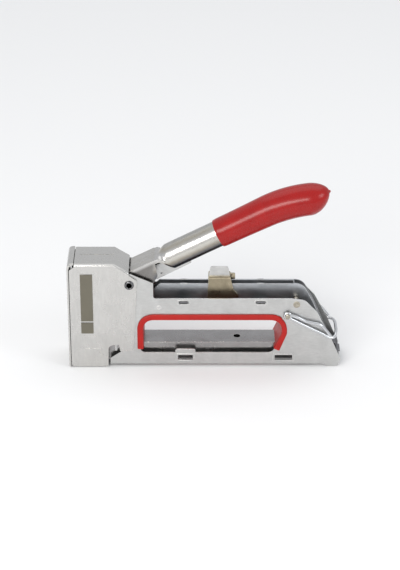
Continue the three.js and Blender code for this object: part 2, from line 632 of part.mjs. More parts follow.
// ---- fasteners -----------------------------------------------------------------------------------------
// The heads are low, so that the bail legs pass outside them.
const rivetShaft = crossRod(REAR_RIVET.x, REAR_RIVET.z, RIVET_R, -13.5, 13.5, 16);
const rivetHeads = [-1, 1].map((side) => crossRod(
  REAR_RIVET.x, REAR_RIVET.z, 2.4, ...span(side, SHELL_HALF + 0.2, SHELL_HALF + 0.45), 18,
));
addPart('rear_rivet', join([rivetShaft, ...rivetHeads]), brassy);

gun.name = 'staple_gun';
export default gun;
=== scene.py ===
"""Staple gun: the finished model, laid out as an add-on and run as a script.

Shapes are drawn in millimetres in the frame's own axes (-X nose, +X tail, +Z up, -Y left side)
and brought to metres when a piece is settled.
"""

import math

import bmesh
import bpy
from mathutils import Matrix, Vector


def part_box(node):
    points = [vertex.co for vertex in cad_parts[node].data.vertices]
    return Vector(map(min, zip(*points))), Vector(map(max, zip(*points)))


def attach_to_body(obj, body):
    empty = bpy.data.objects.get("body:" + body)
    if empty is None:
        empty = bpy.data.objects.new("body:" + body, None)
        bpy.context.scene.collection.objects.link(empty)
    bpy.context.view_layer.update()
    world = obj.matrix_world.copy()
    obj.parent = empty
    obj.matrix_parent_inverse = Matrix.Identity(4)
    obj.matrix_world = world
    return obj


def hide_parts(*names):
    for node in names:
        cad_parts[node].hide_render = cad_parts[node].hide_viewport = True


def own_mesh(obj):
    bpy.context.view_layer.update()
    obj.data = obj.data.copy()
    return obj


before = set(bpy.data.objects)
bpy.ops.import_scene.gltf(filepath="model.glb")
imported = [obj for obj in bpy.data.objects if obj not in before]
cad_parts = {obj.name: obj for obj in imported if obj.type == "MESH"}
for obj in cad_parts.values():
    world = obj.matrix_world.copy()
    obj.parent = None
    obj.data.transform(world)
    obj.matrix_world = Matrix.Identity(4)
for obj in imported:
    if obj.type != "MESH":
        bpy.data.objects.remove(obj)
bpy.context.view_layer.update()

bl_info = {
    "name": "Staple Gun",
    "version": (1, 0, 0),
    "blender": (4, 5, 0),
    "location": "View3D > Sidebar > Staple Gun",
    "description": "Builds a hand staple gun piece by piece, with its finishes and stage",
    "category": "Object",
}

MM = 0.001


def box_mm(node):
    """Lowest and highest corner of a node, in millimetres."""
    low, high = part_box(node)
    return Vector(low) / MM, Vector(high) / MM


def axis_mm(node):
    """The x and z of a round node that lies across the gun."""
    low, high = box_mm(node)
    return (low.x + high.x) / 2, (low.z + high.z) / 2


SHEET = 1.0
SHELL_OUTER = -box_mm("left_shell")[0].y
JACKET_HALF = box_mm("head_jacket")[1].y
NOSE_LOW, NOSE_HIGH = box_mm("nose_plate")
RAIL_HIGH = box_mm("top_rail")[1]
GUARD_HALF = box_mm("finger_guard")[1].y
SLIDER_HIGH = box_mm("power_slider")[1]
PIN_X, PIN_Z = axis_mm("handle_pivot_pin")
EYE_X, EYE_Z = axis_mm("bail_pin_left")
RIVET_X, RIVET_Z = axis_mm("rear_rivet")
PIN_HOLE, RIVET_HOLE, EYE_HOLE = 2.9, 1.9, 1.2

# The handle's axis: straight, then bent down a little under the palm.
HANDLE_SLOPE = math.radians(27.3)
HANDLE_X, HANDLE_Z = -10.3, 85.4
BEND_START, BEND_RADIUS, BEND_TURN = 58.0, 86.0, math.radians(28)
TUBE_R, TUBE_WALL, TUBE_SEAM = 9.1, 1.3, 5.6
GRIP_START, GRIP_END, GRIP_SLOT_END = 21.8, 101.5, 66.0
GRIP_MOUTH_R, GRIP_CAP, GRIP_TIP_LIFT = 10.1, 14.0, 4.2


# ---- selecting and shaping ----


def only(obj):
    """Selects just this object."""
    if bpy.context.object and bpy.context.object.mode != "OBJECT":
        bpy.ops.object.mode_set(mode="OBJECT")
    bpy.ops.object.select_all(action="DESELECT")
    obj.select_set(True)
    bpy.context.view_layer.objects.active = obj
    return obj


def pick(obj, kind, test):
    """Enters edit mode with the faces, edges or vertices selected that pass the test."""
    only(obj)
    bpy.ops.object.mode_set(mode="EDIT")
    bpy.ops.mesh.select_mode(type={"faces": "FACE", "edges": "EDGE", "verts": "VERT"}[kind])
    bpy.ops.mesh.select_all(action="DESELECT")
    mesh = bmesh.from_edit_mesh(obj.data)
    mesh.normal_update()
    found = [item for item in getattr(mesh, kind) if test(item)]
    for item in found:
        item.select_set(True)
    mesh.select_flush_mode()
    bmesh.update_edit_mesh(obj.data)
    return len(found)


def clean(obj, distance=0.002, flat=0.0):
    """Merges doubles, dissolves flat areas and turns the faces outwards."""
    only(obj)
    bpy.ops.object.mode_set(mode="EDIT")
    bpy.ops.mesh.select_all(action="SELECT")
    bpy.ops.mesh.remove_doubles(threshold=distance)
    if flat:
        bpy.ops.mesh.dissolve_limited(angle_limit=math.radians(flat))
    bpy.ops.mesh.normals_make_consistent(inside=False)
    bpy.ops.object.mode_set(mode="OBJECT")
    return obj


def modify(obj, kind, **values):
    """Adds a modifier with these values and applies it."""
    only(obj)
    modifier = obj.modifiers.new(kind.title(), kind)
    for key, value in values.items():
        setattr(modifier, key, value)
    bpy.ops.object.modifier_apply(modifier=modifier.name)
    return obj


def soften(obj, width, angle=50):
    """Rounds the edges sharper than the angle."""
    return modify(
        obj, "BEVEL", width=width, segments=2, limit_method="ANGLE", angle_limit=math.radians(angle))


def cut(obj, *cutters):
    for cutter in cutters:
        modify(obj, "BOOLEAN", operation="DIFFERENCE", solver="EXACT", object=cutter)
        bpy.data.objects.remove(cutter, do_unlink=True)
    return obj


def gather(obj, *others):
    """Joins other meshes into this object."""
    only(obj)
    for other in others:
        other.select_set(True)
    bpy.ops.object.join()
    return obj


def rounded(points, steps=8):
    """An outline whose corners are rounded: each point is (x, z) or (x, z, radius)."""
    line = []
    for i, point in enumerate(points):
        corner = Vector(point[:2])
        radius = point[2] if len(point) > 2 else 0
        if radius <= 0:
            line.append(corner)
            continue
        back = (Vector(points[i - 1][:2]) - corner).normalized()
        ahead = (Vector(points[(i + 1) % len(points)][:2]) - corner).normalized()
        reach = radius / math.tan(back.angle(ahead) / 2)
        start, end = corner + back * reach, corner + ahead * reach
        for k in range(steps + 1):
            t = k / steps
            line.append((1 - t) ** 2 * start + 2 * t * (1 - t) * corner + t * t * end)
    return line


def circle(x, z, radius, sides=32, turn=0.0):
    return [
        Vector((x + radius * math.cos(turn + a), z + radius * math.sin(turn + a)))
        for a in (2 * math.pi * k / sides for k in range(sides))
    ]


def block(x0, x1, z0, z1, low=0, high=None):
    """A rectangle, with the radius of its lower corners and of its upper ones."""
    high = low if high is None else high
    return rounded([(x0, z0, low), (x1, z0, low), (x1, z1, high), (x0, z1, high)])


def stadium(x, z, half_length, half_height):
    return block(x - half_length, x + half_length, z - half_height, z + half_height, half_height * 0.98)


def mesh_of(name, curve):
    obj = bpy.data.objects.new(name, curve)
    bpy.context.collection.objects.link(obj)
    only(obj)
    bpy.ops.object.convert(target="MESH")
    return bpy.context.object


def plate(name, outline, y0, y1, holes=(), edge=0.15):
    """A side outline with holes, as thick as y0 to y1, with a softened edge."""
    data = bpy.data.curves.new(name, "CURVE")
    data.dimensions = "2D"
    data.fill_mode = "BOTH"
    data.extrude = (y1 - y0) / 2 - edge
    data.bevel_depth = edge
    data.bevel_resolution = 1
    data.offset = -edge
    for loop in (outline, *holes):
        spline = data.splines.new("POLY")
        spline.points.add(len(loop) - 1)
        for point, place in zip(spline.points, loop):
            point.co = (place[0], place[1], 0, 1)
        spline.use_cyclic_u = True
    obj = mesh_of(name, data)
    obj.rotation_euler = (math.pi / 2, 0, 0)
    obj.location = (0, (y0 + y1) / 2, 0)
    bpy.ops.object.transform_apply()
    return clean(obj)


def folded(name, outline, half, keep, sheet=SHEET, radius=1.5, holes=(), splits=(), edge=0.12):
    """Sheet folded over the gun: both side outlines and the rim faces that pass `keep`."""
    obj = clean(plate(name, outline, -half, half, holes, edge=0), flat=0.4)
    for x in splits:
        pick(obj, "faces", lambda f: True)
        bpy.ops.mesh.bisect(plane_co=(x, 0, 0), plane_no=(1, 0, 0))
    pick(obj, "faces", lambda f: abs(f.normal.y) < 0.5 and not keep(f))
    bpy.ops.mesh.delete(type="FACE")

    def is_fold(item):
        if len(item.link_faces) != 2:
            return False
        a, b = (abs(f.normal.y) for f in item.link_faces)
        return (a > 0.9) != (b > 0.9)

    if pick(obj, "edges", is_fold):
        bpy.ops.mesh.bevel(offset=radius, segments=5, affect="EDGES", clamp_overlap=True)
    modify(obj, "SOLIDIFY", thickness=sheet, offset=-1, use_even_offset=True)
    return soften(obj, edge)


def wrapped(name, columns, rows, place):
    """A grid bent to shape: place(u, v) gives each point, with u across and v along."""
    bpy.ops.object.select_all(action="DESELECT")
    bpy.ops.mesh.primitive_grid_add(x_subdivisions=columns, y_subdivisions=rows)
    obj = bpy.context.object
    obj.name = name
    for vertex in obj.data.vertices:
        u, v = (vertex.co.x + 1) / 2, (vertex.co.y + 1) / 2
        vertex.co = place(u, v)
    return clean(obj, 0.005)


def turned(name, profile, x, z, side, sides=48):
    """A piece turned about an axis across the gun: the profile is (radius, y) points."""

    def place(u, v):
        step = v * (len(profile) - 1)
        i = min(int(step + 1e-6), len(profile) - 2)
        (r0, y0), (r1, y1) = profile[i], profile[i + 1]
        r, y = r0 + (r1 - r0) * (step - i), y0 + (y1 - y0) * (step - i)
        return (x + r * math.cos(2 * math.pi * u), side * y, z + r * math.sin(2 * math.pi * u))

    return wrapped(name, sides, len(profile) - 1, place)


def wire(name, points, radius, cyclic=False):
    """A round wire through the points, in smooth curves."""
    data = bpy.data.curves.new(name, "CURVE")
    data.dimensions = "3D"
    data.bevel_depth = radius
    data.bevel_resolution = 5
    data.resolution_u = 10
    data.use_fill_caps = not cyclic
    spline = data.splines.new("BEZIER")
    spline.bezier_points.add(len(points) - 1)
    for point, place in zip(spline.bezier_points, points):
        point.co = place
        point.handle_left_type = point.handle_right_type = "AUTO"
    spline.use_cyclic_u = cyclic
    return clean(mesh_of(name, data), 0.001)


def settle(obj, name, nodes, body, slot, smooth=32, finish=None):
    """Brings a piece to metres at the origin, shades it and puts it in the frame."""
    only(obj)
    obj.scale = (MM, MM, MM)
    bpy.ops.object.transform_apply()
    bpy.ops.object.shade_smooth_by_angle(angle=math.radians(smooth))
    modify(obj, "WEIGHTED_NORMAL", keep_sharp=True)
    obj.name = name
    obj.data.name = name
    obj.data.materials.clear()
    obj.data.materials.append(finish_of(finish or slot))
    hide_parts(*nodes)
    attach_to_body(obj, body)


def span(side, near, far):
    """From y to y on one side of the gun, for distances from its middle."""
    return (-far, -near) if side < 0 else (near, far)


# ---- the handle's axis ----


def handle_point(along):
    """A point on the axis, at a distance from its front end, and the slope there."""
    straight = min(along, BEND_START)
    bent = min(max(along - BEND_START, 0), BEND_RADIUS * BEND_TURN)
    after = max(0.0, along - BEND_START - BEND_RADIUS * BEND_TURN)
    slope = HANDLE_SLOPE - bent / BEND_RADIUS
    x = HANDLE_X + straight * math.cos(HANDLE_SLOPE) + after * math.cos(slope)
    z = HANDLE_Z + straight * math.sin(HANDLE_SLOPE) + after * math.sin(slope)
    x += BEND_RADIUS * (math.sin(HANDLE_SLOPE) - math.sin(slope))
    z += BEND_RADIUS * (math.cos(slope) - math.cos(HANDLE_SLOPE))
    return x, z, slope


def on_handle(along, across, height):
    """A point beside the axis: across the gun and square above the axis."""
    x, z, slope = handle_point(along)
    return (x - height * math.sin(slope), across, z + height * math.cos(slope))


# ---- finishes ----


ORIGIN = (0.0, 0.0, 0.0)


def group(name, inputs, output):
    """A shared effect with one value out. An input whose default is a tuple is a vector."""
    tree = bpy.data.node_groups.new(name, "ShaderNodeTree")
    for label, default in inputs.items():
        kind = "NodeSocketVector" if isinstance(default, tuple) else "NodeSocketFloat"
        tree.interface.new_socket(name=label, in_out="INPUT", socket_type=kind).default_value = default
    tree.interface.new_socket(name=output, in_out="OUTPUT", socket_type="NodeSocketFloat")
    return tree, tree.nodes.new("NodeGroupInput").outputs, tree.nodes.new("NodeGroupOutput").inputs[0]


def attach(tree, source, socket):
    """Links an output to this input, or sets the input to a plain value."""
    if isinstance(source, bpy.types.NodeSocket):
        tree.links.new(source, socket)
    else:
        socket.default_value = source


def add(tree, kind, links=None, **values):
    """A node with its values set and its inputs linked."""
    node = tree.nodes.new(kind)
    for key, value in values.items():
        setattr(node, key, value)
    for socket, source in (links or {}).items():
        attach(tree, source, node.inputs[socket])
    return node


def reckon(tree, operation, *terms, clamp=False):
    """The result of a maths node."""
    node = add(tree, "ShaderNodeMath", dict(enumerate(terms)), operation=operation, use_clamp=clamp)
    return node.outputs[0]


def dot(tree, first, second):
    node = add(tree, "ShaderNodeVectorMath", {0: first, 1: second}, operation="DOT_PRODUCT")
    return node.outputs["Value"]


def remap(tree, value, low, high, to_low=0.0, to_high=1.0):
    """Takes low..high to to_low..to_high, and holds it at both ends."""
    return add(tree, "ShaderNodeMapRange", {
        "Value": value, "From Min": low, "From Max": high, "To Min": to_low, "To Max": to_high}).outputs[0]


def noise(tree, place, scale, detail, roughness=0.5, distortion=0.0):
    return add(tree, "ShaderNodeTexNoise", {
        "Vector": place, "Scale": scale, "Detail": detail, "Roughness": roughness,
        "Distortion": distortion}).outputs["Fac"]


def blend(tree, amount, first, second, kind="MIX"):
    node = add(tree, "ShaderNodeMix", data_type="RGBA", blend_type=kind)
    attach(tree, amount, node.inputs[0])
    attach(tree, first, node.inputs[6])
    attach(tree, second, node.inputs[7])
    return node.outputs[2]


def cloud_group():
    """Soft, cloudy change of tone over a plated sheet."""
    tree, start, end = group("cloudy_plate", {"Vector": ORIGIN, "Scale": 120.0, "Contrast": 1.0}, "Tone")
    wide = noise(tree, start["Vector"], start["Scale"], 4.0, 0.6, 0.6)
    centred = reckon(tree, "SUBTRACT", wide, 0.5)
    scaled = reckon(tree, "MULTIPLY", centred, start["Contrast"])
    tree.links.new(reckon(tree, "ADD", scaled, 0.5, clamp=True), end)
    return tree


def grain_group():
    """Fine drawn lines along one direction, from stretched noise."""
    tree, start, end = group(
        "drawn_grain", {"Vector": ORIGIN, "Stretch": (1.0, 1.0, 1.0), "Scale": 100.0}, "Height")
    drawn = add(tree, "ShaderNodeVectorMath", {0: start["Vector"], 1: start["Stretch"]}, operation="MULTIPLY")
    tree.links.new(noise(tree, drawn.outputs[0], start["Scale"], 5.0, 0.65), end)
    return tree


def wear_group():
    """A mask along the edges of a piece, broken up by noise."""
    tree, start, end = group("edge_wear", {"Vector": ORIGIN, "Radius": 0.0004, "Breakup": 900.0}, "Mask")
    bevel = add(tree, "ShaderNodeBevel", {"Radius": start["Radius"]}, samples=4)
    surface = add(tree, "ShaderNodeNewGeometry")
    edge = remap(tree, dot(tree, bevel.outputs[0], surface.outputs["Normal"]), 0.995, 0.93)
    gate = remap(tree, noise(tree, start["Vector"], start["Breakup"], 3.0), 0.35, 0.6, 0.2, 1.0)
    tree.links.new(reckon(tree, "MULTIPLY", edge, gate), end)
    return tree


GROUP_MAKERS = {"cloud": cloud_group, "grain": grain_group, "wear": wear_group}
GROUPS = {}


def effect(tree, name, **links):
    """The value of a shared effect, whose group is made the first time."""
    if name not in GROUPS:
        GROUPS[name] = GROUP_MAKERS[name]()
    return add(tree, "ShaderNodeGroup", links, node_tree=GROUPS[name]).outputs[0]


# finish: colour, share of it in the dark clouds, least and most roughness, cloud scale and contrast,
# grain stretch, grain scale, grain depth in metres, colour of worn edges, amount of wear
METAL_LOOKS = {
    "zinc_sheet": (
        "zinc", 0.78, (0.30, 0.44), 90, 1.5, (0.25, 1, 1), 900, 1.2e-5, (0.92, 0.92, 0.90), 0.9),
    "chrome_sheet": (
        "polished", 0.84, (0.20, 0.34), 60, 1.3, (1, 1, 0.2), 700, 0.8e-5, (0.90, 0.88, 0.80), 0.55),
    "handle_chrome": (
        "handle", 0.80, (0.20, 0.32), 70, 1.4, (0.2, 1, 0.4), 800, 0.8e-5, (0.97, 0.95, 0.90), 0.5),
    "channel_chrome": (
        "channel", 0.72, (0.18, 0.34), 50, 1.6, (0.12, 1, 1), 900, 1.0e-5, (0.95, 0.93, 0.86), 1.0),
    "rail_steel": (
        "rail", 0.70, (0.28, 0.46), 80, 1.8, (0.15, 1, 1), 900, 1.4e-5, (0.85, 0.84, 0.80), 1.0),
    "dark_steel": (
        "dark", 0.72, (0.34, 0.50), 90, 1.4, (0.3, 1, 1), 700, 1.4e-5, (0.60, 0.60, 0.60), 0.8),
    "spring_steel": (
        "spring", 0.75, (0.26, 0.42), 110, 1.2, (0.2, 1, 1), 900, 0.8e-5, (0.50, 0.52, 0.55), 0.8),
    "gold_zinc": (
        "gold", 0.62, (0.24, 0.40), 140, 2.0, (1, 1, 0.3), 900, 1.0e-5, (0.96, 0.90, 0.72), 1.0),
    "pivot_steel": (
        "dark", 0.50, (0.16, 0.30), 300, 1.8, (1, 1, 1), 900, 1.0e-5, (0.55, 0.52, 0.46), 0.5),
    "pin_steel": (
        "pin", 0.66, (0.24, 0.42), 240, 1.6, (1, 1, 1), 900, 1.0e-5, (0.86, 0.82, 0.72), 0.9),
    "bail_wire": (
        "wire", 0.80, (0.10, 0.20), 90, 1.2, (1, 1, 1), 600, 0.4e-5, (0.95, 0.95, 0.95), 0.6),
    "staple_wire": (
        "zinc", 0.70, (0.24, 0.40), 200, 1.2, (8, 0.1, 0.1), 160, 3.0e-5, (0.9, 0.9, 0.9), 0.6),
}
# finish: colour, share of it in the dark clouds, least and most roughness, grain scale,
# grain depth in metres, clear coat
PLAIN_LOOKS = {
    "red_plastic": ("guard", 0.72, (0.30, 0.44), 500, 1.2e-5, 0.06),
    "red_vinyl": ("vinyl", 0.70, (0.20, 0.32), 1600, 1.6e-5, 0.16),
    "label_paint": ("label", 0.82, (0.42, 0.56), 700, 0.8e-5, 0.0),
    "black_rubber": ("rubber", 0.7, (0.65, 0.85), 900, 2.0e-5, 0.0),
}
FINISHES = {}


def finish_of(name):
    if name not in FINISHES:
        FINISHES[name] = metal_finish(name) if name in METAL_LOOKS else plain_finish(name)
    return FINISHES[name]


def new_material(name):
    """A material with an empty Principled shader, and the object coordinates to draw on."""
    material = bpy.data.materials.new(name)
    material.use_nodes = True
    tree = material.node_tree
    tree.nodes.clear()
    output = add(tree, "ShaderNodeOutputMaterial")
    shader = add(tree, "ShaderNodeBsdfPrincipled")
    tree.links.new(shader.outputs["BSDF"], output.inputs["Surface"])
    return material, tree, shader.inputs, add(tree, "ShaderNodeTexCoord").outputs["Object"]


def clouded(tree, tone, name, dark):
    """A property's colour, darkened in clouds."""
    colour = getattr(bpy.context.scene.gun_colours, name)
    return blend(tree, tone, (*(c * dark for c in colour), 1.0), (*colour, 1.0))


def lay_on(tree, shader, base, roughness, grain, depth, strength):
    tree.links.new(base, shader["Base Color"])
    tree.links.new(roughness, shader["Roughness"])
    bump = add(tree, "ShaderNodeBump", {"Height": grain, "Distance": depth, "Strength": strength})
    tree.links.new(bump.outputs["Normal"], shader["Normal"])


def metal_finish(name):
    colour, dark, rough, scale, contrast, stretch, fine, depth, edge, wear = METAL_LOOKS[name]
    material, tree, shader, place = new_material(name)
    tone = effect(tree, "cloud", Vector=place, Scale=scale, Contrast=contrast)
    grain = effect(tree, "grain", Vector=place, Stretch=stretch, Scale=fine)
    mask = effect(tree, "wear", Vector=place)
    base = clouded(tree, tone, colour, dark)
    base = blend(tree, 1.0, base, remap(tree, grain, 0.3, 0.7, 0.93, 1.04), "MULTIPLY")
    base = blend(tree, reckon(tree, "MULTIPLY", mask, wear), base, (*edge, 1.0))
    # Painted shade under the handle, a painted highlight band along it and painted shade on the neck's sides.
    if name == "handle_chrome":
        base = blend(tree, 1.0, base, paint_handle_light(tree, place), "MULTIPLY")
    # Painted shade and painted dark reflection: near black between the rail's sides along the tail.
    if name == "rail_steel":
        base = blend(tree, rail_painted_shade_mask(tree, place), base, (0.02, 0.021, 0.024, 1.0))
    lay_on(tree, shader, base, remap(tree, tone, 0.2, 0.8, rough[1], rough[0]), grain, depth, 0.6)
    shader["Metallic"].default_value = 1.0
    return material


def rail_painted_shade_mask(tree, place):
    """Mask for painted shade: one between the rail's two sides where it stands open along the tail, zero
    elsewhere.
    """
    side, open_from = 1.15, 61.0
    parts = add(tree, "ShaderNodeSeparateXYZ", {"Vector": place}).outputs
    across = reckon(tree, "ABSOLUTE", parts["Y"])
    inside = reckon(tree, "LESS_THAN", across, (RAIL_HIGH.y - side) * MM)
    behind = reckon(tree, "GREATER_THAN", parts["X"], open_from * MM)
    return reckon(tree, "MULTIPLY", inside, behind)


# Share of the way up the handle, and the painted light there: painted shade underneath, a painted highlight
# band and a greyer painted reflection on top.
HANDLE_PAINTED_LIGHT = (
    (0.0, (0.10, 0.12, 0.16)), (0.24, (0.16, 0.18, 0.22)), (0.34, (0.34, 0.34, 0.34)),
    (0.44, (0.62, 0.58, 0.50)), (0.52, (0.90, 0.88, 0.82)), (0.80, (1.0, 1.0, 1.0)),
    (0.90, (0.78, 0.74, 0.64)), (1.0, (0.80, 0.82, 0.84)),
)


def paint_handle_light(tree, place):
    """Painted light by height over the handle's axis: a painted highlight near the top, painted shade
    underneath and painted shade on the neck's sides.
    """
    up_x, up_z = -math.sin(HANDLE_SLOPE), math.cos(HANDLE_SLOPE)
    lifted = dot(tree, place, (up_x / MM, 0.0, up_z / MM))
    height = reckon(tree, "ADD", lifted, -HANDLE_Z * up_z - HANDLE_X * up_x)
    ragged = reckon(tree, "MULTIPLY_ADD", noise(tree, place, 260.0, 5.0, 0.7), 2.4, height)
    ramp = add(tree, "ShaderNodeValToRGB", {"Fac": remap(tree, ragged, -9.0, 11.0)})
    elements = ramp.color_ramp.elements
    while len(elements) < len(HANDLE_PAINTED_LIGHT):
        elements.new(0.5)
    for element, (at, tone) in zip(elements, HANDLE_PAINTED_LIGHT):
        element.position = at
        element.color = (*tone, 1.0)
    # Painted shade: the neck's sides, low on the front, are dulled to grey.
    parts = add(tree, "ShaderNodeSeparateXYZ", {"Vector": place})
    front = remap(tree, parts.outputs["X"], -0.036, -0.032, 1.0, 0.0)
    low = remap(tree, height, 3.6, 5.4, 1.0, 0.0)
    return blend(tree, reckon(tree, "MULTIPLY", front, low), ramp.outputs["Color"], (0.42, 0.41, 0.40, 1.0))


def plain_finish(name):
    colour, dark, rough, fine, depth, coat = PLAIN_LOOKS[name]
    material, tree, shader, place = new_material(name)
    tone = effect(tree, "cloud", Vector=place, Scale=70.0, Contrast=1.3)
    grain = effect(tree, "grain", Vector=place, Scale=fine)
    mask = effect(tree, "wear", Vector=place, Radius=0.0005)
    rubbed = tuple(min(1.0, c * 0.7 + 0.25) for c in getattr(bpy.context.scene.gun_colours, colour))
    base = clouded(tree, tone, colour, dark)
    base = blend(tree, reckon(tree, "MULTIPLY", mask, 0.25), base, (*rubbed, 1.0))
    lay_on(tree, shader, base, remap(tree, grain, 0.3, 0.7, *rough), grain, depth, 0.7)
    shader["Coat Weight"].default_value = coat
    shader["Coat Roughness"].default_value = 0.12
    shader["Specular IOR Level"].default_value = 0.3
    return material


# ---- properties ----


def colour_property(name, description, default):
    return bpy.props.FloatVectorProperty(
        name=name, description=description, subtype="COLOR", size=3, min=0, max=1, default=default)


def length_property(name, description, default, low, high):
    return bpy.props.FloatProperty(
        name=name, description=description, default=default, min=low, max=high, unit="LENGTH", precision=5)


class GunSizes(bpy.types.PropertyGroup):
    edge_round: length_property("Edge rounding", "Rounding of the stamped edges", 0.00015, 0.00005, 0.0004)
    fold_radius: length_property("Fold radius", "Outside radius of the sheet's folds", 0.0016, 0.0005, 0.003)
    wire_radius: length_property("Bail wire radius", "Radius of the bail's wire", 0.0011, 0.0005, 0.0013)
    grip_radius: length_property("Grip radius", "Largest radius of the grip", 0.0110, 0.0105, 0.0113)
    floor_size: length_property("Floor size", "Side of the floor", 8.0, 2.0, 20.0)


class GunColours(bpy.types.PropertyGroup):
    zinc: colour_property("Zinc sheet", "Side shells", (0.64, 0.64, 0.63))
    polished: colour_property("Head jacket", "Plated jacket and nose plate", (0.66, 0.65, 0.63))
    handle: colour_property("Handle plating", "Plated handle arm", (0.66, 0.65, 0.64))
    channel: colour_property("Channel plating", "Plated magazine channel", (0.42, 0.41, 0.41))
    rail: colour_property("Rail steel", "Top rail", (0.57, 0.59, 0.62))
    dark: colour_property("Dark steel", "Inner steel pieces", (0.20, 0.20, 0.21))
    spring: colour_property("Spring steel", "Springs and driver blade", (0.16, 0.17, 0.20))
    gold: colour_property("Yellow zinc", "Power slider", (0.44, 0.38, 0.27))
    pin: colour_property("Pin steel", "Pins and rivets", (0.50, 0.46, 0.38))
    wire: colour_property("Bail wire", "Wire bail", (0.72, 0.73, 0.75))
    guard: colour_property("Finger guard", "Red plastic guard", (0.44, 0.009, 0.006))
    vinyl: colour_property("Grip", "Red dipped grip", (0.37, 0.006, 0.005))
    label: colour_property("Label", "Painted label panel", (0.15, 0.138, 0.105))
    rubber: colour_property("Rubber", "Bumper", (0.02, 0.02, 0.02))


def size_mm(name):
    return getattr(bpy.context.scene.gun_sizes, name) / MM


# ---- outlines ----

SHELL_OUTLINE = [
    (-72, 20.4), (-57.6, 20.4, 0.6), (-57.6, 11.4, 1.5), (-65.2, 6.5, 2), (-65.2, 2, 1), (82, 2, 1),
    (84, 0, 1), (91.5, 0, 2), (93.5, 5.8, 1.5), (91, 11.2, 2), (85.2, 24.9, 6), (76, 42.6, 6), (68, 51.2, 6),
    (59, 52.6, 4), (-35.2, 52.6, 1.8), (-35.2, 64.2, 1), (-50.8, 71.2), (-52, 70.4), (-72, 70.4),
]
OPENING = [
    (-44.6, 10.8, 4.5), (46.5, 10.8, 4.5), (48.4, 16, 2), (54.6, 26, 4), (54.6, 38.9, 11),
    (-44.6, 38.9, 10.5),
]
TAB_SLOTS = (-14.6, 37.9)
TAB_Z = 49.6
CLIP_SLOTS = ((-18.5, -8.5), (48.0, 60.0))
CLIP_BOTTOM, CLIP_TOP = 5.4, 9.0
HOOK_SIDES_AND_ENDS = (-20.4, -6.6, 9.8, 13.6)
JACKET_FRONT = -91.9
SLOPE_START, SLOPE_END, SLOPE_END_TOP = -61.8, -51.6, 72.6
HEAD_TOP = NOSE_HIGH.z


def clip_hole(a, b):
    return block(a, b, CLIP_BOTTOM, CLIP_TOP, 0.6)


class PieceOperator:
    bl_options = {"REGISTER", "UNDO"}


class GUN_OT_side_shells(PieceOperator, bpy.types.Operator):
    """Left and right side shells, pressed from zinc plated sheet"""

    bl_idname = "staple_gun.side_shells"
    bl_label = "Side Shells"

    def execute(self, context):
        edge = size_mm("edge_round")
        outer = SHELL_OUTER
        for side, node in ((-1, "left_shell"), (1, "right_shell")):
            y0, y1 = span(side, outer - SHEET, outer)
            holes = [
                rounded(OPENING, 12),
                circle(PIN_X, PIN_Z, PIN_HOLE),
                circle(RIVET_X, RIVET_Z, RIVET_HOLE),
                circle(EYE_X, EYE_Z, EYE_HOLE, 20),
                *(stadium(x, TAB_Z, 3.3, 1.0) for x in TAB_SLOTS),
                *(clip_hole(a, b) for a, b in CLIP_SLOTS),
            ]
            shell = plate(node, rounded(SHELL_OUTLINE), y0, y1, holes, edge)
            extras = []
            for x in TAB_SLOTS:
                ring, hole = stadium(x, TAB_Z, 4.3, 1.9), stadium(x, TAB_Z, 3.4, 1.1)
                extras.append(plate("rim", ring, *span(side, outer - 0.3, outer + 0.22), [hole], 0.2))
            for a, b in CLIP_SLOTS:
                ring = rounded([
                    (a - 1.5, CLIP_BOTTOM - 1.5, 1.2), (b + 1.5, CLIP_BOTTOM - 1.5, 1.2),
                    (b + 1.1, CLIP_TOP + 1.3, 1.4), (a - 1.1, CLIP_TOP + 1.3, 1.4),
                ])
                bump = plate("bump", ring, *span(side, outer - 0.4, outer + 0.65), [clip_hole(a, b)], 0.45)
                extras.append(bump)
            hook = block(*HOOK_SIDES_AND_ENDS, 0, 1.4)
            extras.append(plate("hook", hook, *span(side, outer - 0.95, outer + 0.1), edge=0.25))
            extras.append(plate("tongue", rounded([
                (-61.9, 12.2, 0.4), (-60.3, 12.2, 0.4), (-60.3, 16.4, 0.4), (-59.2, 16.4, 0.4),
                (-59.2, 18.6, 0.4), (-61.9, 18.6, 0.4),
            ]), *span(side, outer - 0.9, outer - 0.1)))
            spot = [(0.0, outer - 0.3), (1.5, outer - 0.3), (1.5, outer + 0.02), (1.25, outer + 0.14),
                    (0.95, outer + 0.02), (0.6, outer + 0.1), (0.0, outer + 0.12)]
            extras.append(turned("spot_weld", spot, -31.4, 45.8, side, 28))
            gather(shell, *extras)
            settle(shell, node + "_sheet", [node], "frame", "zinc_sheet")
        return {"FINISHED"}


